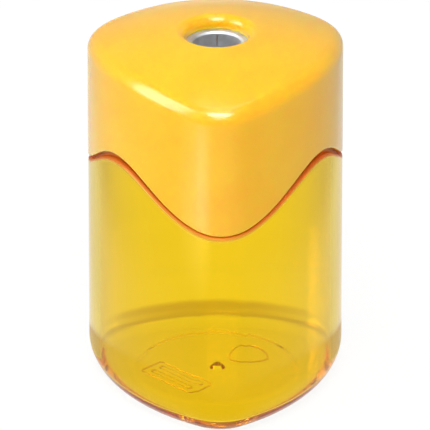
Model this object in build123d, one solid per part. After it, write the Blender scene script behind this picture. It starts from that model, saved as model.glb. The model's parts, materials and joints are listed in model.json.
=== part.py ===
from build123d import *

import os
from math import atan2, cos, degrees, hypot, radians, sin

# A pencil sharpener that stands on its own shavings container.
# In plan it is a triangle with bowed sides and round corners, one corner towards -Y.
# The origin is at the middle of the footprint, on the surface the container stands on.
# Each piece is modelled about the pencil axis, and moved by AXIS_Y when it is written.

# Plan outline
CORNER_DISTANCE = 14.0        # pencil axis to the centre of a corner arc
CORNER_RADIUS = 8.4
SIDE_CENTRE_DISTANCE = 15.2   # pencil axis to the centre of a side arc, which lies across from the side
TANGENT_X = CORNER_DISTANCE * cos(radians(30))
TANGENT_Y = CORNER_DISTANCE * sin(radians(30)) + SIDE_CENTRE_DISTANCE
SIDE_RADIUS = hypot(TANGENT_X, TANGENT_Y) + CORNER_RADIUS
SIDE_SWEEP = 2 * (90 - degrees(atan2(TANGENT_Y, TANGENT_X)))
CORNER_SWEEP = 120 - SIDE_SWEEP
CORNER_ANGLES = (-90, 30, 150)
CORNER_REACH = CORNER_DISTANCE + CORNER_RADIUS
SIDE_REACH = SIDE_RADIUS - SIDE_CENTRE_DISTANCE
AXIS_Y = (CORNER_REACH - SIDE_REACH) / 2

# Wall build-up at the joint: cap skirt, running gap, container collar
CAP_WALL = 0.9
COLLAR_GAP = 0.15
COLLAR_WALL = 0.65
CONTAINER_WALL = CAP_WALL + COLLAR_GAP + COLLAR_WALL

# Wavy joint line: it dips at the corners and rises at the middle of each side
CAP_EDGE_MEAN = 40.05
CAP_EDGE_WAVE = 4.05
GAP_AT_CORNER = 0.2
GAP_AT_SIDE = 0.95
SHOULDER_MEAN = CAP_EDGE_MEAN - (GAP_AT_SIDE + GAP_AT_CORNER) / 2
SHOULDER_WAVE = CAP_EDGE_WAVE - (GAP_AT_SIDE - GAP_AT_CORNER) / 2
WAVES = 3
WAVE_POINTS = 36              # points of each wave curve, 12 to a wave
WAVE_INNER = 8.0              # the wave surface runs between these two radii
WAVE_OUTER = 30.0

# Cap
TOP = 62.1                    # height of the dome's crown, were it not for the hole
DOME_RADIUS = 54.0
TOP_EDGE_RADIUS = 3.0
ROOF = 1.6
INNER_EDGE_RADIUS = 1.3
CAP_EDGE_RADIUS = 0.25
HOLE_RADIUS = 5.1
HOLE_LIP_RADIUS = 1.4

# Container
BOTTOM_EDGE_RADIUS = 4.1
FLOOR_TOP = 2.4
INNER_FLOOR_RADIUS = 0.5
RECESS_RADIUS = 13.3
RECESS_DEPTH = 0.12
RECESS_SLOPE = 0.6            # how far its edge slopes in or out from RECESS_RADIUS
GATE_RADIUS = 1.25
GATE_DEPTH = 1.3
SHOULDER_RADIUS = 0.7
COLLAR_TOP = 47.5
COLLAR_LEAD_IN = 0.3

# Sharpener wedge, hung from the cap with its bore on the pencil axis
FACE_Z = 59.55                # its upper end, seen through the hole
BODY_LENGTH = 24.5
BODY_WIDTH = 15.0
BODY_DEPTH = 11.2
BODY_EDGE = 0.3
BORE_RADIUS = 4.0
BORE_CHAMFER = 0.3
GUIDE_LENGTH = 4.0
CONE_LENGTH = 19.0
TIP_RADIUS = 0.6
CONE_SLOPE = (BORE_RADIUS - TIP_RADIUS) / CONE_LENGTH
SLIT_WIDTH = 0.14
SLIT_START = 0.6              # from the wedge's upper end
SLIT_END = 1.5                # from the wedge's lower end
THROAT_START = 0.6            # from the end of the guide
THROAT_OVERRUN = 0.2          # past the end of the cone
THROAT_OVERLAP = 1.5          # past the metal's outer face
THROAT_SPREAD = 0.9           # how fast the throat opens sideways, as a share of the cone's radius
THROAT_WIDTH = 1.6            # and by how much more, whatever the radius

# Blade seat: a plane along the cone's wall, a little inside it
BLADE_BITE = 0.15
LAND = 1.2                    # height of the metal beside the blade, over the seat
SEAT_START = 1.8              # from the wedge's upper end to the start of the seat
GRIP_RADIUS = 22.0
GRIP_DEPTH = 0.7
GRIP_MIDDLE = 16.0            # from the wedge's upper end
GROOVE_COUNT = 9
GROOVE_PITCH = 1.3
GROOVE_RADIUS = 0.35

# Blade and screw
BLADE_LEFT = -6.7
BLADE_EDGE = 0.15             # the cutting edge, beside the bore's centre line
BLADE_LENGTH = 22.4
BLADE_GAP = 0.1               # from the end of the seat to the blade
BLADE_THICKNESS = 0.6
BEVEL_WIDTH = 1.1
SCREW_X = -4.0
SCREW_DROP = 13.5             # from the wedge's upper end, down the seat
SCREW_RADIUS = 1.2
SCREW_DEPTH = 4.2
SCREW_HOLE_GAP = 0.05
SCREW_HOLE_END = 0.3          # from the screw's tip to the bottom of its hole
BLADE_HOLE_RADIUS = 1.5
HEAD_RADIUS = 2.6
HEAD_HEIGHT = 1.2
HEAD_EDGE = 0.3
SLOT_WIDTH = 0.7
SLOT_DEPTH = 0.6

# Socket in the cap that holds the wedge
SOCKET_FIT = 0.05
SOCKET_WALL = 1.2
SOCKET_EDGE = 0.6
STOP_GAP = 0.1                # from the collar to the cap's ribs
SOCKET_BOTTOM = COLLAR_TOP + STOP_GAP
BRIDGE = 4.0                  # height of the socket's wall over the blade
SOCKET_OPENING = 13.0
RIB_THICKNESS = 1.0

TALL = 100.0                  # longer than the whole object, for cutters


def outline(offset):
    """The plan outline, moved out by offset, as a face at z = 0."""
    with BuildSketch() as sketch:
        with BuildLine():
            for corner in CORNER_ANGLES:
                centre = Vector(CORNER_DISTANCE, 0).rotate(Axis.Z, corner)
                start = corner - CORNER_SWEEP / 2
                CenterArc(centre, CORNER_RADIUS + offset, start, CORNER_SWEEP)
                side = corner + 60
                centre = Vector(-SIDE_CENTRE_DISTANCE, 0).rotate(Axis.Z, side)
                start = side - SIDE_SWEEP / 2
                CenterArc(centre, SIDE_RADIUS + offset, start, SIDE_SWEEP)
        make_face()
    return sketch.sketch


def prism(offset, low, high):
    """The plan outline, moved out by offset, stood up between two heights."""
    return extrude(Pos(0, 0, low) * outline(offset), amount=high - low)


def wave_height(angle, mean, wave):
    """Height of a wave curve at an angle in degrees about the axis."""
    return mean + wave * cos(WAVES * radians(angle - 90))


def wave_ring(radius, mean, wave):
    """One closed wave curve at a radius."""
    points = []
    for step in range(WAVE_POINTS):
        angle = 360 * step / WAVE_POINTS
        x = radius * cos(radians(angle))
        y = radius * sin(radians(angle))
        points.append(Vector(x, y, wave_height(angle, mean, wave)))
    return Edge.make_spline(points, periodic=True)


def wave_block(mean, wave, direction):
    """Everything on one side of the wave surface, above for +1 and below for -1."""
    inner = wave_ring(WAVE_INNER, mean, wave)
    outer = wave_ring(WAVE_OUTER, mean, wave)
    surface = Face.make_surface_from_curves(inner, outer)
    return Solid.extrude(surface, Vector(0, 0, direction * TALL))


def wave_edges(solid, mean, wave, offset):
    """The edges of a solid that lie on the wave surface, at the outline moved out by offset."""
    found = []
    for edge in solid.edges():
        middle = edge.position_at(0.5)
        angle = degrees(atan2(middle.Y, middle.X))
        on_wave = abs(middle.Z - wave_height(angle, mean, wave)) < 0.05
        if on_wave and abs(outline_offset(middle) - offset) < 0.05:
            found.append(edge)
    return found


def outline_offset(point):
    """How far a point lies outside the plan outline, by its nearest side arc or corner arc."""
    angle = degrees(atan2(point.Y, point.X))
    distance = None
    for corner in CORNER_ANGLES:
        centre = Vector(CORNER_DISTANCE, 0).rotate(Axis.Z, corner)
        away = Vector(point.X - centre.X, point.Y - centre.Y)
        turn = (degrees(atan2(away.Y, away.X)) - corner + 180) % 360 - 180
        if abs(turn) <= CORNER_SWEEP / 2:
            distance = away.length - CORNER_RADIUS
    if distance is None:
        sides = [corner + 60 for corner in CORNER_ANGLES]
        side = min(sides, key=lambda middle: abs((angle - middle + 180) % 360 - 180))
        centre = Vector(-SIDE_CENTRE_DISTANCE, 0).rotate(Axis.Z, side)
        distance = Vector(point.X - centre.X, point.Y - centre.Y).length - SIDE_RADIUS
    return distance


def container():
    """The cup, with a rounded bottom edge, a wavy shoulder and a thin collar."""
    body = prism(0, 0, COLLAR_TOP)
    body = fillet(body.edges().filter_by_position(Axis.Z, 0, 0), BOTTOM_EDGE_RADIUS)
    cavity = prism(-CONTAINER_WALL, FLOOR_TOP, TALL)
    cavity = fillet(cavity.edges().filter_by_position(Axis.Z, FLOOR_TOP, FLOOR_TOP), INNER_FLOOR_RADIUS)
    collar = prism(-CAP_WALL - COLLAR_GAP, 0, TALL)
    body -= wave_block(SHOULDER_MEAN, SHOULDER_WAVE, 1) - collar
    body = fillet(wave_edges(body, SHOULDER_MEAN, SHOULDER_WAVE, 0), SHOULDER_RADIUS)
    body = chamfer(body.edges().filter_by_position(Axis.Z, COLLAR_TOP, COLLAR_TOP), COLLAR_LEAD_IN)
    body -= cavity
    body -= Cone(RECESS_RADIUS + RECESS_SLOPE, RECESS_RADIUS - RECESS_SLOPE, 2 * RECESS_DEPTH)
    body -= Pos(0, 0, RECESS_DEPTH) * Cone(GATE_RADIUS, GATE_RADIUS / 2, 2 * GATE_DEPTH)
    return body


def dome(radius_change):
    """The ball whose top is the cap's dome, with its radius changed."""
    return Pos(0, 0, TOP - DOME_RADIUS) * Sphere(DOME_RADIUS + radius_change)


def dome_edges(solid, radius_change, offset):
    """The edges where the dome meets the walls at the outline moved out by offset."""
    centre = Vector(0, 0, TOP - DOME_RADIUS)
    found = []
    for edge in solid.edges():
        middle = edge.position_at(0.5)
        on_dome = abs((middle - centre).length - DOME_RADIUS - radius_change) < 0.01
        if on_dome and middle.Z > COLLAR_TOP and abs(outline_offset(middle) - offset) < 0.01:
            found.append(edge)
    return found


def upright_box(x_low, x_high, y_low, y_high, z_low, z_high):
    """A box given by its limits."""
    size = (x_high - x_low, y_high - y_low, z_high - z_low)
    corner = Pos(x_low, y_low, z_low)
    return corner * Box(*size, align=(Align.MIN, Align.MIN, Align.MIN))


def socket():
    """The sleeve under the roof that grips the wedge, open over the blade."""
    half_x = BODY_WIDTH / 2 + SOCKET_FIT
    half_y = BODY_DEPTH / 2 + SOCKET_FIT
    wall = SOCKET_WALL
    sleeve = upright_box(-half_x - wall, half_x + wall, -half_y - wall, half_y + wall, SOCKET_BOTTOM, TOP)
    sleeve = fillet(sleeve.edges().filter_by(Axis.Z), SOCKET_EDGE)
    pocket = upright_box(-half_x, half_x, -half_y, half_y, SOCKET_BOTTOM - 1, FACE_Z)
    half_opening = SOCKET_OPENING / 2
    bridge_bottom = FACE_Z - BRIDGE
    opening = upright_box(-half_opening, half_opening, 0, TALL, SOCKET_BOTTOM - 1, bridge_bottom)
    return sleeve, pocket + opening


def ribs():
    """Three webs from the socket to the corners, which rest over the collar."""
    webs = []
    for corner in CORNER_ANGLES:
        web = upright_box(BODY_DEPTH / 2, CORNER_REACH, -RIB_THICKNESS / 2, RIB_THICKNESS / 2, SOCKET_BOTTOM, TOP)
        webs.append(Rot(0, 0, corner) * web)
    return webs


def cap():
    """The domed cap with its wavy skirt, the socket and the ribs."""
    shell = prism(0, 0, TOP) & dome(0)
    shell = fillet(dome_edges(shell, 0, 0), TOP_EDGE_RADIUS)
    skirt_hollow = prism(-CAP_WALL, -1, TOP) & dome(-ROOF)
    skirt_hollow = fillet(dome_edges(skirt_hollow, -ROOF, -CAP_WALL), INNER_EDGE_RADIUS)
    sleeve, pocket = socket()
    inside = sleeve
    for web in ribs():
        inside += web
    inside -= pocket
    shell -= skirt_hollow
    shell += inside & prism(-CAP_WALL / 2, 0, TOP) & dome(-ROOF / 2)
    shell -= wave_block(CAP_EDGE_MEAN, CAP_EDGE_WAVE, -1)
    shell = fillet(wave_edges(shell, CAP_EDGE_MEAN, CAP_EDGE_WAVE, 0), CAP_EDGE_RADIUS)
    shell -= Pos(0, 0, FACE_Z) * Cylinder(HOLE_RADIUS, TALL, align=(Align.CENTER, Align.CENTER, Align.MIN))
    lip = [edge for edge in shell.edges() if is_lip(edge)]
    return fillet(lip, HOLE_LIP_RADIUS)


def is_lip(edge):
    """Whether an edge is the rim of the pencil hole in the dome."""
    middle = edge.position_at(0.5)
    return abs(hypot(middle.X, middle.Y) - HOLE_RADIUS) < 0.01 and middle.Z > FACE_Z + 1


def seat_plane():
    """The blade seat's plane: local x is +X, local y runs down the seat, local z is outward."""
    start = BORE_RADIUS + CONE_SLOPE * GUIDE_LENGTH - BLADE_BITE
    return Plane(origin=(0, start, FACE_Z), x_dir=(1, 0, 0), z_dir=(0, 1, -CONE_SLOPE))


def seat_box(x_low, x_high, down_low, down_high, out_low, out_high):
    """A box given by its limits in the blade seat's plane."""
    return seat_plane().location * upright_box(x_low, x_high, down_low, down_high, out_low, out_high)


def seat_cylinder(x, down, radius, out_low, out_high):
    """A cylinder square to the blade seat, given by its middle and its two ends."""
    upright = Cylinder(radius, out_high - out_low, align=(Align.CENTER, Align.CENTER, Align.MIN))
    return seat_plane().location * Pos(x, down, out_low) * upright


def bore():
    """The pencil bore: guide, cone and tip hole, with a chamfered mouth."""
    cone_top = FACE_Z - GUIDE_LENGTH
    tip = cone_top - CONE_LENGTH
    with BuildSketch(Plane.XZ) as profile:
        with BuildLine():
            Polyline(
                (0, FACE_Z + 1),
                (BORE_RADIUS + BORE_CHAMFER + 1, FACE_Z + 1),
                (BORE_RADIUS, FACE_Z - BORE_CHAMFER),
                (BORE_RADIUS, cone_top),
                (TIP_RADIUS, tip),
                (TIP_RADIUS, FACE_Z - BODY_LENGTH - 1),
                (0, FACE_Z - BODY_LENGTH - 1),
                close=True,
            )
        make_face()
    return revolve(profile.sketch, Axis.Z)


def throat():
    """The slanting cut beside the cutting edge that lets the shavings out."""
    sections = []
    for drop in (GUIDE_LENGTH + THROAT_START, GUIDE_LENGTH + CONE_LENGTH + THROAT_OVERRUN):
        radius = BORE_RADIUS - CONE_SLOPE * (drop - GUIDE_LENGTH)
        outside = radius + LAND + THROAT_OVERLAP
        corners = [(0, radius / 2), (THROAT_SPREAD * radius + THROAT_WIDTH, outside), (0, outside)]
        height = FACE_Z - drop
        sections.append(Wire.make_polygon([Vector(x, y, height) for x, y in corners]))
    return Solid.make_loft(sections, ruled=True)


def sharpener_body():
    """The metal wedge: its front slopes like the cone, so the blade lies along the cone's wall."""
    half = BODY_DEPTH / 2
    low = FACE_Z - BODY_LENGTH
    wedge = upright_box(-BODY_WIDTH / 2, BODY_WIDTH / 2, -half, half, low, FACE_Z)
    wedge -= seat_box(-TALL, TALL, -TALL, TALL, LAND, TALL)
    wedge = chamfer(wedge.edges().filter_by(Axis.Z), BODY_EDGE)
    wedge -= bore()
    wedge -= seat_box(-TALL, BLADE_EDGE + SLIT_WIDTH / 2, SEAT_START, TALL, 0, TALL)
    wedge -= throat()
    left = BLADE_EDGE - SLIT_WIDTH / 2
    slit = upright_box(left, left + SLIT_WIDTH, 0, TALL, low + SLIT_END, FACE_Z - SLIT_START)
    wedge -= slit
    wedge -= seat_cylinder(SCREW_X, SCREW_DROP, SCREW_RADIUS + SCREW_HOLE_GAP, -SCREW_DEPTH - SCREW_HOLE_END, 1)
    return wedge - grips()


def grips():
    """Hollowed and grooved finger grips on both sides of the wedge."""
    cutters = []
    middle = FACE_Z - GRIP_MIDDLE
    for side in (-1, 1):
        reach = BODY_WIDTH / 2 - GRIP_DEPTH
        hollow = Pos(side * (reach + GRIP_RADIUS), 0, middle) * Rot(90, 0, 0) * Cylinder(GRIP_RADIUS, TALL)
        cutters.append(hollow)
        for groove in range(GROOVE_COUNT):
            rise = (groove - (GROOVE_COUNT - 1) / 2) * GROOVE_PITCH
            across = reach + GRIP_RADIUS - (GRIP_RADIUS**2 - rise**2) ** 0.5
            cutters.append(Pos(side * across, 0, middle + rise) * Rot(90, 0, 0) * Cylinder(GROOVE_RADIUS, TALL))
    return cutters


def blade():
    """The flat steel blade, bevelled along its cutting edge, with a hole for the screw."""
    start = SEAT_START + BLADE_GAP
    with BuildSketch(Plane.XZ) as section:
        with BuildLine():
            Polyline(
                (BLADE_LEFT, 0),
                (BLADE_EDGE, 0),
                (BLADE_EDGE - BEVEL_WIDTH, BLADE_THICKNESS),
                (BLADE_LEFT, BLADE_THICKNESS),
                close=True,
            )
        make_face()
    strip = Pos(0, start, 0) * extrude(section.sketch, amount=-BLADE_LENGTH)
    strip = seat_plane().location * strip
    return strip - seat_cylinder(SCREW_X, SCREW_DROP, BLADE_HOLE_RADIUS, -1, 1)


def blade_screw():
    """The slotted screw that clamps the blade."""
    head = Cylinder(HEAD_RADIUS, HEAD_HEIGHT, align=(Align.CENTER, Align.CENTER, Align.MIN))
    head = fillet(head.edges().filter_by_position(Axis.Z, HEAD_HEIGHT, HEAD_HEIGHT), HEAD_EDGE)
    head -= Pos(0, 0, HEAD_HEIGHT) * Box(2 * HEAD_RADIUS + 1, SLOT_WIDTH, 2 * SLOT_DEPTH)
    shank_length = SCREW_DEPTH + BLADE_THICKNESS
    shank = Cylinder(SCREW_RADIUS, shank_length, align=(Align.CENTER, Align.CENTER, Align.MAX))
    place = seat_plane().location * Pos(SCREW_X, SCREW_DROP, BLADE_THICKNESS)
    return place * (head + shank)


def write(name, shape):
    """Writes one piece at its place over the footprint's middle."""
    export_step(Pos(0, AXIS_Y, 0) * shape, f"parts/{name}.step")


os.makedirs("parts", exist_ok=True)
write("container", container())
write("cap", cap())
write("sharpener_body", sharpener_body())
write("blade", blade())
write("blade_screw", blade_screw())
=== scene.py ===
import json
import math

import bmesh
import bpy
import numpy as np
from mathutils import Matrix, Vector


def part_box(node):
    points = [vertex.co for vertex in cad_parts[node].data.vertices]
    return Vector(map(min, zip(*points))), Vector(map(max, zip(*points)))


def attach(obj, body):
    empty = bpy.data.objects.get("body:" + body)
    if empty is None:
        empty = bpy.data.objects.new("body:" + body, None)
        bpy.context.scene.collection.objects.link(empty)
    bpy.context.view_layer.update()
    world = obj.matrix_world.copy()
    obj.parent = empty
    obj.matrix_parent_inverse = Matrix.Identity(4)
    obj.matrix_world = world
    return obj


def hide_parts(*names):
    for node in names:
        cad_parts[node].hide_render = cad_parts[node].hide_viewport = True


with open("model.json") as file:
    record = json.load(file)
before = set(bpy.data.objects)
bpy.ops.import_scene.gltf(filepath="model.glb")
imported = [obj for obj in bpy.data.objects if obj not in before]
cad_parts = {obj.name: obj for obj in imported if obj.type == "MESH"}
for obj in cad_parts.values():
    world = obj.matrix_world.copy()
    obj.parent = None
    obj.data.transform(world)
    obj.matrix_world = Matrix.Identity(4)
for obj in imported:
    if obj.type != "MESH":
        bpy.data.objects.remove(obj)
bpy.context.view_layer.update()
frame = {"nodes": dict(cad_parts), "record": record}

MM = 0.001

# What the frame gives: sizes from the CAD boxes, and the pencil's axis from the record
container_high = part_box("container")[1]
cap_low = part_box("cap")[0]
body_low, body_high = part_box("sharpener_body")
bore_mount = next(m for m in frame["record"]["mounts"] if m["name"] == "pencil_bore")
AXIS_Y = bore_mount["pos_m"][1]
FACE_Z = body_high.z
COLLAR_TOP = container_high.z

# Plan outline about the pencil's axis: three corner arcs, three side arcs
CORNER_ANGLES = (-90, 30, 150)
CORNER_RADIUS = 8.4 * MM
CORNER_DISTANCE = (container_high.x - CORNER_RADIUS) / math.cos(math.radians(30))
SIDE_CENTRE_DISTANCE = 15.2 * MM
TANGENT_X = CORNER_DISTANCE * math.cos(math.radians(30))
TANGENT_Y = CORNER_DISTANCE * math.sin(math.radians(30)) + SIDE_CENTRE_DISTANCE
SIDE_RADIUS = math.hypot(TANGENT_X, TANGENT_Y) + CORNER_RADIUS
SIDE_SWEEP = 180 - 2 * math.degrees(math.atan2(TANGENT_Y, TANGENT_X))
CORNER_SWEEP = 120 - SIDE_SWEEP
CORNER_STEPS = 22
SIDE_STEPS = 34

# Walls and the wavy joint line, as in the CAD model
CAP_WALL = 0.9 * MM
COLLAR_GAP = 0.15 * MM
CONTAINER_WALL = 1.7 * MM
CAP_EDGE_MEAN = 40.05 * MM
CAP_EDGE_WAVE = CAP_EDGE_MEAN - cap_low.z
SHOULDER_MEAN = 39.475 * MM
SHOULDER_WAVE = 3.675 * MM
WAVES = 3

# Cap
TOP = 62.1 * MM
DOME_RADIUS = 54.0 * MM
TOP_EDGE_RADIUS = 3.0 * MM
ROOF = 1.6 * MM
INNER_EDGE_RADIUS = 1.3 * MM
CAP_EDGE_RADIUS = 0.25 * MM
HOLE_RADIUS = 5.1 * MM
HOLE_LIP_RADIUS = 1.4 * MM
HOLE_LIP_STEPS = 12
HOLE_RING = 6.4 * MM          # outside of the roof's thick ring over the metal face

# Container
BOTTOM_EDGE_RADIUS = 4.1 * MM
FLOOR_TOP = 2.4 * MM
INNER_FLOOR_RADIUS = 0.5 * MM
RECESS_RADIUS = 13.3 * MM
RECESS_DEPTH = 0.12 * MM
RECESS_SLOPE = 1.2 * MM
GATE_RADIUS = 1.35 * MM
GATE_DEPTH = 1.6 * MM
# The dimple's section: shares of its radius and of its depth
GATE_SECTION = ((0.3, 1), (0.55, 1), (0.62, 0.95), (0.95, 0.08), (1.05, 0))
SHOULDER_RADIUS = 0.7 * MM
COLLAR_EDGE = 0.3 * MM
SMALL_EDGE = 0.15 * MM

# Plain marks in the underside's recess
RELIEF_HEIGHT = 0.09 * MM
RELIEF_WIDTH = 0.3 * MM
PANEL_MIDDLE = np.array([-6.6, -3.2]) * MM
PANEL_TURN = -47
PANEL_SIZE = (11.6 * MM, 4.6 * MM)
PANEL_CORNER = 0.7 * MM
STRIPE_SIZE = (9.0 * MM, 0.9 * MM)
STRIPE_CORNER = 0.4 * MM
STRIPE_DISTANCE = 0.9 * MM
TRIANGLE_MIDDLE = np.array([5.4, 4.4]) * MM
TRIANGLE_SCALE = 0.15

# Socket and ribs under the cap's roof
SOCKET_BOTTOM = COLLAR_TOP + 0.1 * MM
SOCKET_WALL = 1.2 * MM
SOCKET_FIT = 0.05 * MM
SOCKET_EDGE = 0.6 * MM
SOCKET_TOP = 60.2 * MM
SOCKET_OPENING = 13.0 * MM
BRIDGE = 4.0 * MM
RIB_THICKNESS = 1.0 * MM
RIB_CUT_IN = 1.8 * MM         # how much of a rib's top is cut off towards its end
RIB_END_TOP = TOP - 7.2 * MM
INNER_PIECE_EDGE = 0.12 * MM

# Edges sharper than this, in degrees, stay crisp on the skins and get a bevel on inner pieces
SKIN_CREASE = 35
BEVEL_FROM = 40

# Mesh points nearer to each other than this are one point
MERGE_DISTANCE = 1e-7

# Marks left by turning on the wedge's end face, 0.3 mm apart
TURNED_RINGS = 1050.0

# The ledge's painted shade and glow, a darker orange, by height above it: where it starts, is full,
# still is and has gone
LEDGE_PAINTED_SHADE_TOP = 0.6 * MM
LEDGE_PAINTED_SHADE_END = 1.0 * MM
LEDGE_PAINTED_SHADE = (-SHOULDER_RADIUS - 0.1 * MM, -0.3 * MM, LEDGE_PAINTED_SHADE_TOP, LEDGE_PAINTED_SHADE_END)

# How far up the recess's painted shade reaches
RECESS_PAINTED_SHADE_REACH = 0.6 * MM

# The floor, and how bright the camera sees it
FLOOR_HALF = 6.0
FLOOR_DROP = 0.1 * MM
FLOOR_SEEN = 0.9
SURROUND_GLOW = 0.42

# The floor's glow as it lights the object and shows in it. A strip from front to back is
# brighter, over the STRIP_FADE part of its fall-off. The sides dim between two distances from
# the middle. A patch in front on the left shows as a pale band on the cap's corner.
STRIP_MIDDLE = (0, 70.0 * MM, 0)
STRIP_REACH = (40.0 * MM, 1 / 3, 1 / 3)
STRIP_FADE = (0.15, 0.68)
STRIP_GLOW = (0.67, 0.89)
SIDES_REACH = 150.0 * MM
SIDES_DISTANCE = (55.5 * MM, 75.0 * MM)
SIDES_GLOW = -0.25
PATCH_MIDDLE = (-67.0 * MM, -83.0 * MM, 0)
PATCH_REACH = 45.0 * MM
PATCH_GLOW = 3.2

# A soft shade in a ring round the object, by radius: where it starts from outside, is full,
# still is and has gone
SHADE = (0.67, 0.56, 0.48)
SHADE_MIDDLE = (0, -2.0 * MM, 0)
SHADE_REACH = 50.0 * MM
SHADE_RADII = (32.6 * MM, 31.25 * MM, 25.0 * MM, 22.5 * MM)

# What the lights face, and the view
LIGHTS_AIM = Vector((0, 0, 40.0)) * MM
CAMERA_AZIMUTH = -2.07
CAMERA_ELEVATION = 26.5
CAMERA_DISTANCE = 1.5375
CAMERA_LENS = 799.5
AIM = Vector((-0.33, 1.6, 29.0)) * MM


# ---------------------------------------------------------------- plan outline

def outline(offset):
    """The plan outline's points, moved out by offset: an array of N rows of x and y."""
    points = []
    for corner in CORNER_ANGLES:
        arcs = (
            (corner, CORNER_DISTANCE, CORNER_RADIUS, CORNER_SWEEP, CORNER_STEPS),
            (corner + 60, -SIDE_CENTRE_DISTANCE, SIDE_RADIUS, SIDE_SWEEP, SIDE_STEPS),
        )
        for middle, distance, radius, sweep, steps in arcs:
            direction = math.radians(middle)
            centre = distance * np.array([math.cos(direction), math.sin(direction)])
            for step in range(steps):
                angle = math.radians(middle + sweep * (step / steps - 0.5))
                normal = np.array([math.cos(angle), math.sin(angle)])
                points.append(centre + (radius + offset) * normal)
    return np.array(points)


def outline_normals():
    """The outward normal at each of the outline's points."""
    return (outline(MM) - outline(0)) / MM


def circle(radius):
    """A circle about the axis, with a point in the direction of each of the outline's points."""
    plan = outline(0)
    return radius * plan / np.linalg.norm(plan, axis=1)[:, None]


def wave_height(plan, mean, wave):
    """Height of a wave curve in the direction of each plan point."""
    angle = np.arctan2(plan[:, 1], plan[:, 0])
    return mean + wave * np.cos(WAVES * (angle - math.pi / 2))


def wave_stretch(mean, wave):
    """How much taller an edge's rounding is on the wave's slopes, seen in an upright section."""
    plan = outline(0)
    height = wave_height(plan, mean, wave)
    run = np.linalg.norm(np.roll(plan, -1, axis=0) - np.roll(plan, 1, axis=0), axis=1)
    rise = np.roll(height, -1) - np.roll(height, 1)
    return np.hypot(run, rise) / run


def ring(plan, height):
    """A closed ring of points in space; height is one number or one for each point."""
    heights = np.broadcast_to(np.asarray(height, float), (len(plan),))
    return np.column_stack([plan, heights])


def between(first, last, shares):
    """Rings on the straight way between two rings, at the given shares of it."""
    return [first + (last - first) * share for share in shares]


def quarter(steps):
    """Angles over a quarter turn, both ends included."""
    return [math.pi / 2 * step / steps for step in range(steps + 1)]


# ---------------------------------------------------------------- mesh making

def new_object(name, vertices, faces):
    """A mesh object made of metres about the pencil's axis, put over the footprint's middle."""
    mesh = bpy.data.meshes.new(name)
    placed = np.asarray(vertices, float) + np.array([0, AXIS_Y, 0])
    mesh.from_pydata(placed.tolist(), [], faces)
    mesh.validate()
    working = bmesh.new()
    working.from_mesh(mesh)
    bmesh.ops.remove_doubles(working, verts=working.verts, dist=MERGE_DISTANCE)
    bmesh.ops.recalc_face_normals(working, faces=working.faces)
    working.to_mesh(mesh)
    working.free()
    made = bpy.data.objects.new(name, mesh)
    bpy.context.scene.collection.objects.link(made)
    return made


def skin(name, rings, closed):
    """Quads between rings that follow each other. A closed skin joins its last ring to its
    first, and an open one gets a point in the middle of each end."""
    count = len(rings[0])
    vertices = np.vstack(rings)
    faces = []
    pairs = len(rings) if closed else len(rings) - 1
    for row in range(pairs):
        low = row * count
        high = (row + 1) % len(rings) * count
        for step in range(count):
            after = (step + 1) % count
            faces.append((low + step, low + after, high + after, high + step))
    if not closed:
        for end in (0, len(rings) - 1):
            middle = rings[end].mean(axis=0)
            middle[:2] = 0
            vertices = np.vstack([vertices, middle])
            tip = len(vertices) - 1
            for step in range(count):
                faces.append((end * count + step, end * count + (step + 1) % count, tip))
    made = new_object(name, vertices, faces)
    shade_smooth(made, SKIN_CREASE)
    return made


def shade_smooth(piece, angle):
    """Smooth shading, with edges sharper than angle kept crisp."""
    mesh = piece.data
    mesh.polygons.foreach_set("use_smooth", [True] * len(mesh.polygons))
    working = bmesh.new()
    working.from_mesh(mesh)
    limit = math.radians(angle)
    for edge in working.edges:
        edge.smooth = len(edge.link_faces) == 2 and edge.calc_face_angle(0) < limit
    working.to_mesh(mesh)
    working.free()


def shown_as(piece, body, slot, material, *nodes):
    """Hangs a piece on its body, gives it a material and lets it stand for CAD nodes."""
    piece.data.materials.clear()
    piece.data.materials.append(material)
    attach(piece, body)
    if nodes:
        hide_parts(*nodes)


# ---------------------------------------------------------------- materials

def new_material(name):
    """A node material and its Principled shader."""
    material = bpy.data.materials.new(name)
    material.use_nodes = True
    return material, material.node_tree.nodes["Principled BSDF"]


def add(material, kind, **values):
    """A node with some of its properties or inputs set."""
    node = material.node_tree.nodes.new(kind)
    for key, value in values.items():
        if key in node.inputs:
            node.inputs[key].default_value = value
        else:
            setattr(node, key, value)
    return node


def join(material, source, target):
    """A link from an output socket to an input socket."""
    material.node_tree.links.new(source, target)


def fall_off(material, middle, reach):
    """1 at a point in the object's own metres, falling to 0 at its reach along x, y and z."""
    place = add(material, "ShaderNodeTexCoord")
    mapping = add(material, "ShaderNodeMapping")
    mapping.inputs["Location"].default_value = [-at / far for at, far in zip(middle, reach)]
    mapping.inputs["Scale"].default_value = [1 / far for far in reach]
    ball = add(material, "ShaderNodeTexGradient", gradient_type="SPHERICAL")
    join(material, place.outputs["Object"], mapping.inputs["Vector"])
    join(material, mapping.outputs["Vector"], ball.inputs["Vector"])
    return ball.outputs["Fac"]


def placed_noise(material, scale, detail=3.0, stretch=(1, 1, 1)):
    """Noise in the object's own metres."""
    place = add(material, "ShaderNodeTexCoord")
    mapping = add(material, "ShaderNodeMapping", Scale=stretch)
    noise = add(material, "ShaderNodeTexNoise", Scale=scale, Detail=detail)
    join(material, place.outputs["Object"], mapping.inputs["Vector"])
    join(material, mapping.outputs["Vector"], noise.inputs["Vector"])
    return noise.outputs["Fac"]


def ramp(material, source, low, high, first=0.35, last=0.65, inner=()):
    """A colour ramp between two colours. Each inner stop is a position and a colour."""
    node = add(material, "ShaderNodeValToRGB")
    stops = node.color_ramp.elements
    stops[0].position = first
    stops[0].color = (*low, 1)
    stops[1].position = last
    stops[1].color = (*high, 1)
    for position, colour in inner:
        stops.new(position).color = (*colour, 1)
    join(material, source, node.inputs["Fac"])
    return node.outputs["Color"]


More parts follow.
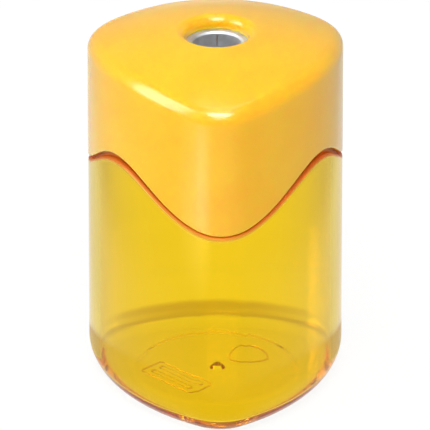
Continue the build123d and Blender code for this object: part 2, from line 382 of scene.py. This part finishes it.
def spread(material, source, low, high, first=0.0, last=1.0):
    """A number from first to last spread between two limits."""
    node = add(material, "ShaderNodeMapRange")
    node.inputs["From Min"].default_value = first
    node.inputs["From Max"].default_value = last
    node.inputs["To Min"].default_value = low
    node.inputs["To Max"].default_value = high
    join(material, source, node.inputs["Value"])
    return node.outputs["Result"]


def scaled_sum(material, source, factor, added):
    """A number times a factor, plus another number."""
    node = add(material, "ShaderNodeMath", operation="MULTIPLY_ADD")
    node.inputs[1].default_value = factor
    join(material, source, node.inputs[0])
    join(material, added, node.inputs[2])
    return node.outputs["Value"]


def bump(material, height, distance, under=None):
    """A normal bumped by a height, over another bump if there is one."""
    node = add(material, "ShaderNodeBump", Distance=distance)
    join(material, height, node.inputs["Height"])
    if under is not None:
        join(material, under, node.inputs["Normal"])
    return node.outputs["Normal"]


def worn_metal(material, shader, wear, colours, roughness):
    """Makes a shader metal, with its colour and roughness both following one noise."""
    join(material, ramp(material, wear, *colours), shader.inputs["Base Color"])
    shader.inputs["Metallic"].default_value = 1.0
    join(material, spread(material, wear, *roughness), shader.inputs["Roughness"])


def cap_plastic():
    """Opaque yellow moulding with a satin gloss and a very fine mould texture."""
    material, shader = new_material("cap_plastic")
    clouds = placed_noise(material, 90.0)
    tint = ramp(material, clouds, (0.95, 0.455, 0.006), (0.99, 0.49, 0.010))
    join(material, tint, shader.inputs["Base Color"])
    fine = placed_noise(material, 2600.0, detail=4.0)
    join(material, spread(material, fine, 0.36, 0.46), shader.inputs["Roughness"])
    join(material, bump(material, fine, 0.004 * MM), shader.inputs["Normal"])
    shader.inputs["IOR"].default_value = 1.5
    shader.inputs["Specular Tint"].default_value = (1.0, 0.8, 0.35, 1)
    shader.inputs["Specular IOR Level"].default_value = 0.15
    shader.inputs["Coat Weight"].default_value = 1.0
    shader.inputs["Coat Roughness"].default_value = 0.2
    shader.inputs["Subsurface Weight"].default_value = 1.0
    shader.inputs["Subsurface Radius"].default_value = (1.5, 0.75, 0.15)
    shader.inputs["Subsurface Scale"].default_value = 1.0 * MM
    return material


def container_plastic():
    """Clear yellow moulding. The depth that light passes gives most of its colour. The recess is
    a little darker and more orange: painted shade of the table under it. The ledge is painted
    a darker orange and made half clear. This is painted shade of the cap's edge and a painted
    glow of the light that gathers in the plastic there."""
    material, shader = new_material("container_plastic")
    # Painted shade: in the recess the colour turns a little darker and more orange, for the shade of
    # the table under it
    recess = fall_off(material, (0, AXIS_Y, 0), (RECESS_RADIUS, RECESS_RADIUS, RECESS_PAINTED_SHADE_REACH))
    tint = ramp(material, recess, (0.965, 0.82, 0.17), (0.95, 0.765, 0.15), first=0.0, last=0.06)
    # The ledge attribute is each point's share of the seam's painted shade and glow. The colour is
    # darkened to orange for the cap's shadow and the light gathered in the plastic's edge
    ledge = add(material, "ShaderNodeAttribute", attribute_name="ledge").outputs["Fac"]
    painted_seam_shade = ramp(material, ledge, (1, 1, 1), (0.70, 0.19, 0.07), first=0.0, last=1.0)
    colour_with_painted_shade = add(material, "ShaderNodeVectorMath", operation="MULTIPLY")
    join(material, tint, colour_with_painted_shade.inputs[0])
    join(material, painted_seam_shade, colour_with_painted_shade.inputs[1])
    join(material, colour_with_painted_shade.outputs["Vector"], shader.inputs["Base Color"])
    # The painted band is also made half clear and rougher, so that its painted orange holds
    join(material, spread(material, ledge, 1.0, 0.45), shader.inputs["Transmission Weight"])
    shader.inputs["IOR"].default_value = 1.5
    shader.inputs["Specular Tint"].default_value = (0.9, 0.7, 0.2, 1)
    swirls = placed_noise(material, 260.0, stretch=(1, 1, 0.35))
    haze = spread(material, swirls, 0.015, 0.05)
    join(material, scaled_sum(material, ledge, 0.45, haze), shader.inputs["Roughness"])
    ripple = placed_noise(material, 120.0, detail=1.0)
    join(material, bump(material, ripple, 0.01 * MM), shader.inputs["Normal"])
    depth = add(material, "ShaderNodeVolumeAbsorption", Color=(1.0, 0.935, 0.03, 1), Density=430.0)
    output = material.node_tree.nodes["Material Output"]
    join(material, depth.outputs["Volume"], output.inputs["Volume"])
    return material


def cast_metal():
    """Die-cast wedge with turned rings on its end face and grey, slightly scratched sides."""
    material, shader = new_material("cast_metal")
    clouds = placed_noise(material, 500.0, detail=4.0)
    worn_metal(material, shader, clouds, ((0.47, 0.49, 0.52), (0.60, 0.63, 0.67)), (0.5, 0.65))
    place = add(material, "ShaderNodeTexCoord")
    centre = add(material, "ShaderNodeMapping", Location=(0, -AXIS_Y, 0))
    turned = add(material, "ShaderNodeTexWave", wave_type="RINGS", rings_direction="Z")
    turned.inputs["Scale"].default_value = TURNED_RINGS
    turned.inputs["Distortion"].default_value = 0.4
    join(material, place.outputs["Object"], centre.inputs["Vector"])
    join(material, centre.outputs["Vector"], turned.inputs["Vector"])
    lines = bump(material, turned.outputs["Fac"], 0.012 * MM)
    scratches = bump(material, placed_noise(material, 3000.0), 0.006 * MM, under=lines)
    join(material, scratches, shader.inputs["Normal"])
    return material


def blade_steel():
    """Ground steel with fine lines across the blade."""
    material, shader = new_material("blade_steel")
    lines = placed_noise(material, 900.0, detail=4.0, stretch=(0.08, 1, 1))
    worn_metal(material, shader, lines, ((0.52, 0.53, 0.55), (0.70, 0.71, 0.73)), (0.18, 0.34))
    join(material, bump(material, lines, 0.004 * MM), shader.inputs["Normal"])
    return material


def screw_steel():
    """Nickel-plated screw with light wear."""
    material, shader = new_material("screw_steel")
    wear = placed_noise(material, 1500.0, detail=4.0)
    worn_metal(material, shader, wear, ((0.58, 0.57, 0.55), (0.74, 0.73, 0.71)), (0.16, 0.32))
    join(material, bump(material, wear, 0.003 * MM), shader.inputs["Normal"])
    return material


# ---------------------------------------------------------------- container

def container_rings():
    """The container's surface, from the middle of its underside over the collar to its floor."""
    rings = []
    for out, up in GATE_SECTION:
        rings.append(ring(circle(out * GATE_RADIUS), RECESS_DEPTH + up * GATE_DEPTH))
    inner = ring(circle(1.4 * GATE_RADIUS), RECESS_DEPTH)
    outer = ring(circle(RECESS_RADIUS - RECESS_SLOPE), RECESS_DEPTH)
    rings += between(inner, outer, (0, 0.25, 0.5, 0.75, 0.95, 1))
    for share in (0.15, 0.3, 0.5, 0.7, 0.85):
        drop = RECESS_DEPTH * (1 + math.cos(math.pi * share)) / 2
        rings.append(ring(circle(RECESS_RADIUS - RECESS_SLOPE * (1 - share)), drop))
    start = ring(circle(RECESS_RADIUS), 0)
    end = ring(outline(-BOTTOM_EDGE_RADIUS), 0)
    rings += between(start, end, (0, 0.1, 0.5, 0.9))
    for angle in quarter(12):
        offset = -BOTTOM_EDGE_RADIUS * (1 - math.sin(angle))
        rings.append(ring(outline(offset), BOTTOM_EDGE_RADIUS * (1 - math.cos(angle))))
    rings += container_shoulder()
    rings += container_inside()
    return rings


def container_shoulder():
    """The outer wall, the rounded wavy shoulder and the outside of the collar."""
    rings = []
    shoulder = wave_height(outline(0), SHOULDER_MEAN, SHOULDER_WAVE)
    reach = SHOULDER_RADIUS * wave_stretch(SHOULDER_MEAN, SHOULDER_WAVE)
    foot = ring(outline(0), BOTTOM_EDGE_RADIUS)
    head = ring(outline(0), shoulder - reach)
    rings += between(foot, head, (0.015, 0.1, 0.25, 0.4, 0.55, 0.7, 0.85, 0.985))
    for angle in quarter(6):
        offset = -SHOULDER_RADIUS * (1 - math.cos(angle))
        rings.append(ring(outline(offset), shoulder - reach * (1 - math.sin(angle))))
    collar = -CAP_WALL - COLLAR_GAP
    rings.append(ring(outline(collar + SMALL_EDGE), shoulder))
    for angle in quarter(3):
        offset = collar + SMALL_EDGE * (1 - math.sin(angle))
        rings.append(ring(outline(offset), shoulder + SMALL_EDGE * (1 - math.cos(angle))))
    rings.append(ring(outline(collar), shoulder + LEDGE_PAINTED_SHADE_TOP - 0.1 * MM))
    low = ring(outline(collar), shoulder + LEDGE_PAINTED_SHADE_END)
    high = ring(outline(collar), COLLAR_TOP - COLLAR_EDGE)
    rings += between(low, high, (0, 0.35, 0.65, 0.95))
    for angle in quarter(4):
        offset = collar - COLLAR_EDGE * (1 - math.cos(angle))
        rings.append(ring(outline(offset), COLLAR_TOP - COLLAR_EDGE * (1 - math.sin(angle))))
    return rings


def container_inside():
    """The collar's top, the inner wall and the floor."""
    rings = []
    for angle in quarter(3):
        offset = -CONTAINER_WALL + SMALL_EDGE * (1 - math.sin(angle))
        rings.append(ring(outline(offset), COLLAR_TOP - SMALL_EDGE * (1 - math.cos(angle))))
    high = ring(outline(-CONTAINER_WALL), COLLAR_TOP - SMALL_EDGE)
    low = ring(outline(-CONTAINER_WALL), FLOOR_TOP + INNER_FLOOR_RADIUS)
    rings += between(high, low, (0.01, 0.1, 0.3, 0.5, 0.7, 0.9, 0.985))
    for angle in quarter(10):
        offset = -CONTAINER_WALL - INNER_FLOOR_RADIUS * (1 - math.cos(angle))
        rings.append(ring(outline(offset), FLOOR_TOP + INNER_FLOOR_RADIUS * (1 - math.sin(angle))))
    edge = rings[-1]
    middle = ring(circle(0.5 * MM), FLOOR_TOP)
    rings += between(edge, middle, (0.02, 0.2, 0.4, 0.6, 0.8, 1))
    return rings


def mark_ledge_painted_shade(container):
    """Marks the points of the ledge and of the collar's foot that get the seam's painted shade and
    glow.
    """
    plan = outline(0)
    ledge = ring(plan, wave_height(plan, SHOULDER_MEAN, SHOULDER_WAVE))
    points = np.empty(3 * len(container.data.vertices))
    container.data.vertices.foreach_get("co", points)
    points = points.reshape(-1, 3) - np.array([0, AXIS_Y, 0])
    away = np.linalg.norm(points[:, None, :2] - ledge[None, :, :2], axis=2)
    nearest = away.argmin(axis=1)
    above = points[:, 2] - ledge[nearest, 2]
    share = np.interp(above, LEDGE_PAINTED_SHADE, (0, 1, 1, 0))
    outside = away.min(axis=1) < (CAP_WALL + COLLAR_GAP + CONTAINER_WALL) / 2
    share = np.where(outside, share, 0)
    # Each point's share of the seam's painted shade and glow
    container.data.attributes.new("ledge", "FLOAT", "POINT").data.foreach_set("value", share)


def relief(name, path):
    """A low raised line round a closed path, standing down from the recess in the underside."""
    middle = path.mean(axis=0)
    away = path - middle
    inner = middle + away * (1 - RELIEF_WIDTH / np.linalg.norm(away, axis=1))[:, None]
    low = RECESS_DEPTH - RELIEF_HEIGHT
    high = RECESS_DEPTH + RELIEF_HEIGHT / 3
    rings = [ring(path, low), ring(path, high), ring(inner, high), ring(inner, low)]
    return skin(name, rings, closed=True)


def panel(middle, size, corner):
    """A rounded rectangle's plan points about its middle, turned by the panel's angle."""
    points = []
    for x, y, start in ((1, 1, 0), (-1, 1, 90), (-1, -1, 180), (1, -1, 270)):
        for step in range(7):
            angle = math.radians(start + 15 * step)
            points.append((x * (size[0] / 2 - corner) + corner * math.cos(angle),
                           y * (size[1] / 2 - corner) + corner * math.sin(angle)))
    along, across = panel_directions()
    return middle + np.array([x * along + y * across for x, y in points])


def panel_directions():
    """The directions along and across the panel."""
    along = np.array([math.cos(math.radians(PANEL_TURN)), math.sin(math.radians(PANEL_TURN))])
    return along, np.array([-along[1], along[0]])


def underside_reliefs():
    """Plain moulded marks in the underside's recess: a panel with two stripes, and a triangle."""
    across = panel_directions()[1]
    made = [relief("relief_panel", panel(PANEL_MIDDLE, PANEL_SIZE, PANEL_CORNER))]
    for number, side in enumerate((-1, 1), 1):
        middle = PANEL_MIDDLE + across * side * STRIPE_DISTANCE
        stripe = panel(middle, STRIPE_SIZE, STRIPE_CORNER)
        made.append(relief(f"relief_stripe_{number}", stripe))
    triangle = TRIANGLE_MIDDLE - outline(0) * TRIANGLE_SCALE
    made.append(relief("relief_triangle", triangle))
    return made


# ---------------------------------------------------------------- cap

def on_dome(plan, radius_change):
    """A ring on the dome's sphere, with its radius changed, over plan points."""
    radius = DOME_RADIUS + radius_change
    height = TOP - DOME_RADIUS + np.sqrt(radius**2 - (plan**2).sum(axis=1))
    return ring(plan, height)


def dome_edge(wall_offset, radius_change, edge_radius, steps):
    """Rings of the rounding between an upright wall and the dome, from the wall up."""
    centres = on_dome(outline(wall_offset - edge_radius), radius_change - edge_radius)
    middle = np.array([0, 0, TOP - DOME_RADIUS])
    from_middle = centres - middle
    up = from_middle / np.linalg.norm(from_middle, axis=1)[:, None]
    out = np.column_stack([outline_normals(), np.zeros(len(centres))])
    turn = np.arccos((up * out).sum(axis=1))[:, None]
    rings = []
    for step in range(steps + 1):
        share = step / steps
        direction = (np.sin((1 - share) * turn) * out + np.sin(share * turn) * up) / np.sin(turn)
        rings.append(centres + edge_radius * direction)
    return rings


def over_dome(first, last, shares, radius_change):
    """Rings on the dome, on the way between two rings, at the given shares of it."""
    plans = between(first[:, :2], last[:, :2], shares)
    return [on_dome(plan, radius_change) for plan in plans]


def hole_lip():
    """The hole's upright wall and its rounded lip, up to where the lip meets the dome."""
    middle = HOLE_RADIUS + HOLE_LIP_RADIUS
    rise = math.sqrt((DOME_RADIUS - HOLE_LIP_RADIUS) ** 2 - middle**2)
    height = TOP - DOME_RADIUS + rise
    end = math.atan2(rise, middle)
    wall = circle(HOLE_RADIUS)
    rings = [ring(wall, level) for level in (FACE_Z, FACE_Z + 0.1 * MM, height - 0.05 * MM)]
    for step in range(HOLE_LIP_STEPS + 1):
        angle = math.pi + (end - math.pi) * step / HOLE_LIP_STEPS
        radius = middle + HOLE_LIP_RADIUS * math.cos(angle)
        rings.append(ring(circle(radius), height + HOLE_LIP_RADIUS * math.sin(angle)))
    return rings


def cap_rings():
    """The cap's surface: round the hole, over the dome, down the skirt and back inside."""
    rings = hole_lip()
    edge = dome_edge(0, 0, TOP_EDGE_RADIUS, 12)
    rings += over_dome(rings[-1], edge[-1], (0.03, 0.12, 0.25, 0.4, 0.55, 0.7, 0.85, 0.95, 0.99), 0)
    rings += edge[::-1]
    rings += cap_skirt(edge[0])
    inner = dome_edge(-CAP_WALL, -ROOF, INNER_EDGE_RADIUS, 8)
    rings += between(rings[-1], inner[0], (0.05, 0.5, 0.95))
    rings += inner
    rings += over_dome(inner[-1], ring(circle(HOLE_RING), 0), (0.02, 0.25, 0.5, 0.75, 1), -ROOF)
    rings.append(ring(circle(HOLE_RING), FACE_Z + SMALL_EDGE))
    rings.append(ring(circle(HOLE_RING - SMALL_EDGE), FACE_Z))
    return rings


def cap_skirt(top):
    """The skirt's outside and its rounded wavy edge, from the dome's rounding down."""
    rings = []
    edge = wave_height(outline(0), CAP_EDGE_MEAN, CAP_EDGE_WAVE)
    reach = CAP_EDGE_RADIUS * wave_stretch(CAP_EDGE_MEAN, CAP_EDGE_WAVE)
    foot = ring(outline(0), edge + reach)
    rings += between(top, foot, (0.015, 0.1, 0.3, 0.5, 0.7, 0.9, 0.985))
    for angle in quarter(5):
        offset = -CAP_EDGE_RADIUS * (1 - math.cos(angle))
        rings.append(ring(outline(offset), edge + reach * (1 - math.sin(angle))))
    for angle in quarter(3):
        offset = -CAP_WALL + SMALL_EDGE * (1 - math.sin(angle))
        rings.append(ring(outline(offset), edge + SMALL_EDGE * (1 - math.cos(angle))))
    return rings


def socket():
    """The sleeve that grips the wedge, cut open below its bridge over the blade."""
    half_x = (body_high.x - body_low.x) / 2 + SOCKET_FIT
    half_y = (body_high.y - body_low.y) / 2 + SOCKET_FIT
    inner = chain(half_x, half_y, SMALL_EDGE)
    outer = chain(half_x + SOCKET_WALL, half_y + SOCKET_WALL, SOCKET_EDGE)
    levels = (SOCKET_BOTTOM, FACE_Z - BRIDGE, SOCKET_TOP)
    count = len(inner)
    vertices = []
    for height in levels:
        vertices += [(x, y, height) for x, y in outer]
        vertices += [(x, y, height) for x, y in inner]

    def at(level, wall, step):
        return (2 * level + wall) * count + step % count

    faces = []
    for step in range(count):
        bridge = step == count - 1
        for level in range(1 if bridge else 0, 2):
            for wall in (0, 1):
                faces.append((at(level, wall, step), at(level, wall, step + 1),
                              at(level + 1, wall, step + 1), at(level + 1, wall, step)))
        for level in (1 if bridge else 0, 2):
            faces.append((at(level, 0, step), at(level, 0, step + 1),
                          at(level, 1, step + 1), at(level, 1, step)))
    for step in (0, count - 1):
        faces.append((at(0, 0, step), at(0, 1, step), at(1, 1, step), at(1, 0, step)))
    return new_object("cap_socket", vertices, faces)


def chain(half_x, half_y, radius):
    """A rounded rectangle's plan points, starting and ending beside the socket's opening."""
    points = [(SOCKET_OPENING / 2, half_y)]
    for x, y, start in ((1, 1, 90), (1, -1, 0), (-1, -1, -90), (-1, 1, 180)):
        centre_x = x * (half_x - radius)
        centre_y = y * (half_y - radius)
        for step in range(5):
            angle = math.radians(start - 90 * step / 4)
            points.append((centre_x + radius * math.cos(angle), centre_y + radius * math.sin(angle)))
    points.append((-SOCKET_OPENING / 2, half_y))
    return points


def rib(name, corner):
    """One web from the socket to a corner of the skirt, its top sunk into the roof."""
    sunk = DOME_RADIUS - ROOF / 2
    start = (body_high.y - body_low.y) / 2 + SOCKET_WALL / 2
    end = CORNER_DISTANCE + CORNER_RADIUS - CAP_WALL / 2
    turn_in = end - RIB_CUT_IN
    profile = [(start, SOCKET_BOTTOM), (end, SOCKET_BOTTOM), (end, RIB_END_TOP)]
    for step in range(9):
        reach = turn_in + (start - turn_in) * step / 8
        profile.append((reach, TOP - DOME_RADIUS + math.sqrt(sunk**2 - reach**2)))
    angle = math.radians(corner)
    along = np.array([math.cos(angle), math.sin(angle), 0])
    across = np.array([-math.sin(angle), math.cos(angle), 0]) * RIB_THICKNESS / 2
    vertices = []
    for side in (-1, 1):
        for reach, height in profile:
            vertices.append(along * reach + across * side + np.array([0, 0, height]))
    count = len(profile)
    faces = [tuple(range(count))[::-1], tuple(range(count, 2 * count))]
    for step in range(count):
        after = (step + 1) % count
        faces.append((step, after, count + after, count + step))
    return new_object(name, vertices, faces)


def soften(piece):
    """Rounds the sharp edges of a piece inside the cap."""
    rounding = piece.modifiers.new("edges", "BEVEL")
    rounding.width = INNER_PIECE_EDGE
    rounding.segments = 2
    rounding.limit_method = "ANGLE"
    rounding.angle_limit = math.radians(BEVEL_FROM)
    rounding.harden_normals = True
    shade_smooth(piece, BEVEL_FROM)


# ---------------------------------------------------------------- building

def build_object():
    """Makes every shown piece and gives the CAD nodes that stay their materials."""
    yellow = cap_plastic()
    container = skin("container_moulding", container_rings(), closed=False)
    mark_ledge_painted_shade(container)
    clear = container_plastic()
    shown_as(container, "container", "container_plastic", clear, "container")
    for mark in underside_reliefs():
        shown_as(mark, "container", "container_plastic", clear)
    cap = skin("cap_moulding", cap_rings(), closed=True)
    shown_as(cap, "cap", "cap_plastic", yellow, "cap")
    sleeve = socket()
    soften(sleeve)
    shown_as(sleeve, "cap", "cap_plastic", yellow)
    for number, corner in enumerate(CORNER_ANGLES, 1):
        web = rib(f"cap_rib_{number}", corner)
        soften(web)
        shown_as(web, "cap", "cap_plastic", yellow)
    finishes = {"sharpener_body": cast_metal(), "blade": blade_steel(), "blade_screw": screw_steel()}
    for node, material in finishes.items():
        piece = frame["nodes"][node]
        piece.data.materials.clear()
        piece.data.materials.append(material)


def floor_glow(material):
    """The floor's glow as it lights the object and shows in it, before the shade."""
    strip = fall_off(material, STRIP_MIDDLE, STRIP_REACH)
    even = spread(material, strip, *STRIP_GLOW, *STRIP_FADE)
    aside = fall_off(material, (0, 0, 0), (SIDES_REACH, math.inf, math.inf))
    fade = [1 - distance / SIDES_REACH for distance in SIDES_DISTANCE]
    sides = spread(material, aside, 0.0, SIDES_GLOW, *fade)
    patch = fall_off(material, PATCH_MIDDLE, (PATCH_REACH,) * 3)
    return scaled_sum(material, patch, PATCH_GLOW, scaled_sum(material, sides, 1.0, even))


def unless_seen(material, source, plain):
    """A number, or a plain one where the camera sees the surface itself."""
    path = add(material, "ShaderNodeLightPath")
    node = add(material, "ShaderNodeMix", B=plain)
    join(material, path.outputs["Is Camera Ray"], node.inputs["Factor"])
    join(material, source, node.inputs["A"])
    return node.outputs["Result"]


def floor_white():
    """White that glows evenly to the camera, and with its bright and shaded parts otherwise."""
    material, shader = new_material("floor_white")
    shader.inputs["Base Color"].default_value = (0.1, 0.1, 0.1, 1)
    shader.inputs["Roughness"].default_value = 0.9
    shader.inputs["Specular IOR Level"].default_value = 0.0
    glow = unless_seen(material, floor_glow(material), FLOOR_SEEN)
    join(material, glow, shader.inputs["Emission Strength"])
    near = fall_off(material, SHADE_MIDDLE, (SHADE_REACH,) * 3)
    start, full, still_full, gone = (1 - radius / SHADE_REACH for radius in SHADE_RADII)
    inner = ((full, SHADE), (still_full, SHADE))
    shade = ramp(material, unless_seen(material, near, 0.0), (1, 1, 1), (1, 1, 1), start, gone, inner)
    join(material, shade, shader.inputs["Emission Color"])
    return material


def build_stage():
    """A plain white floor that glows like a light table, and a pale surround."""
    mesh = bpy.data.meshes.new("floor")
    sides = ((-1, -1), (1, -1), (1, 1), (-1, 1))
    corners = [(x * FLOOR_HALF, y * FLOOR_HALF, -FLOOR_DROP) for x, y in sides]
    mesh.from_pydata(corners, [], [(0, 1, 2, 3)])
    mesh.materials.append(floor_white())
    floor = bpy.data.objects.new("floor", mesh)
    bpy.context.scene.collection.objects.link(floor)
    world = bpy.data.worlds.new("surround")
    world.use_nodes = True
    background = world.node_tree.nodes["Background"]
    background.inputs["Color"].default_value = (1, 1, 1, 1)
    background.inputs["Strength"].default_value = SURROUND_GLOW
    bpy.context.scene.world = world


def soft_box(name, azimuth, elevation, distance, size, radiance, shows="both"):
    """A soft rectangular light that faces the object: where it is in degrees and metres, its
    size and the glow of its face. It shows in matt surfaces (body), glossy ones (sheen) or both."""
    data = bpy.data.lights.new(name, "AREA")
    data.shape = "RECTANGLE"
    data.size, data.size_y = size
    data.energy = 4 * radiance * size[0] * size[1]
    light = bpy.data.objects.new(name, data)
    turn, lift = math.radians(azimuth), math.radians(elevation)
    out = Vector((math.cos(turn) * math.cos(lift), math.sin(turn) * math.cos(lift), math.sin(lift)))
    light.location = LIGHTS_AIM + out * distance
    light.rotation_euler = (-out).to_track_quat("-Z", "Y").to_euler()
    light.visible_diffuse = shows != "sheen"
    light.visible_glossy = shows != "body"
    bpy.context.scene.collection.objects.link(light)


def build_lights():
    """A strip on the left, a box in front and above, weaker ones overhead and right, and the
    tall sheens that make the highlights on the cap's left and front edges."""
    soft_box("left_strip", -168, 22, 0.6, (0.42, 0.18), 6.6, "body")
    soft_box("right_box", -15, 20, 0.7, (0.4, 0.3), 1.5, "body")
    soft_box("front_box", -93, 54, 0.6, (0.36, 0.16), 11.5)
    soft_box("top_box", 60, 85, 0.7, (0.35, 0.3), 1.5)
    soft_box("left_sheen", -168, 24, 0.65, (0.42, 0.56), 5.5, "sheen")
    soft_box("front_sheen", -93, 50, 0.65, (0.26, 0.6), 4.0, "sheen")


def build_camera():
    """The camera, far off with a long lens, a little to the left and looking down."""
    data = bpy.data.cameras.new("camera")
    data.lens = CAMERA_LENS
    data.sensor_width = 36.0
    data.clip_start = 0.1
    data.clip_end = 20.0
    camera = bpy.data.objects.new("camera", data)
    azimuth = math.radians(CAMERA_AZIMUTH)
    elevation = math.radians(CAMERA_ELEVATION)
    level = math.cos(elevation)
    back = Vector((math.sin(azimuth) * level, -math.cos(azimuth) * level, math.sin(elevation)))
    camera.location = AIM + back * CAMERA_DISTANCE
    camera.rotation_euler = (-back).to_track_quat("-Z", "Y").to_euler()
    bpy.context.scene.collection.objects.link(camera)
    bpy.context.scene.camera = camera


build_object()
build_stage()
build_lights()
build_camera()
bpy.context.scene.view_settings.view_transform = "Standard"
# The clear walls turn light round inside them many times
bpy.context.scene.cycles.max_bounces = 48
bpy.context.scene.cycles.glossy_bounces = 40
bpy.context.scene.cycles.transmission_bounces = 24
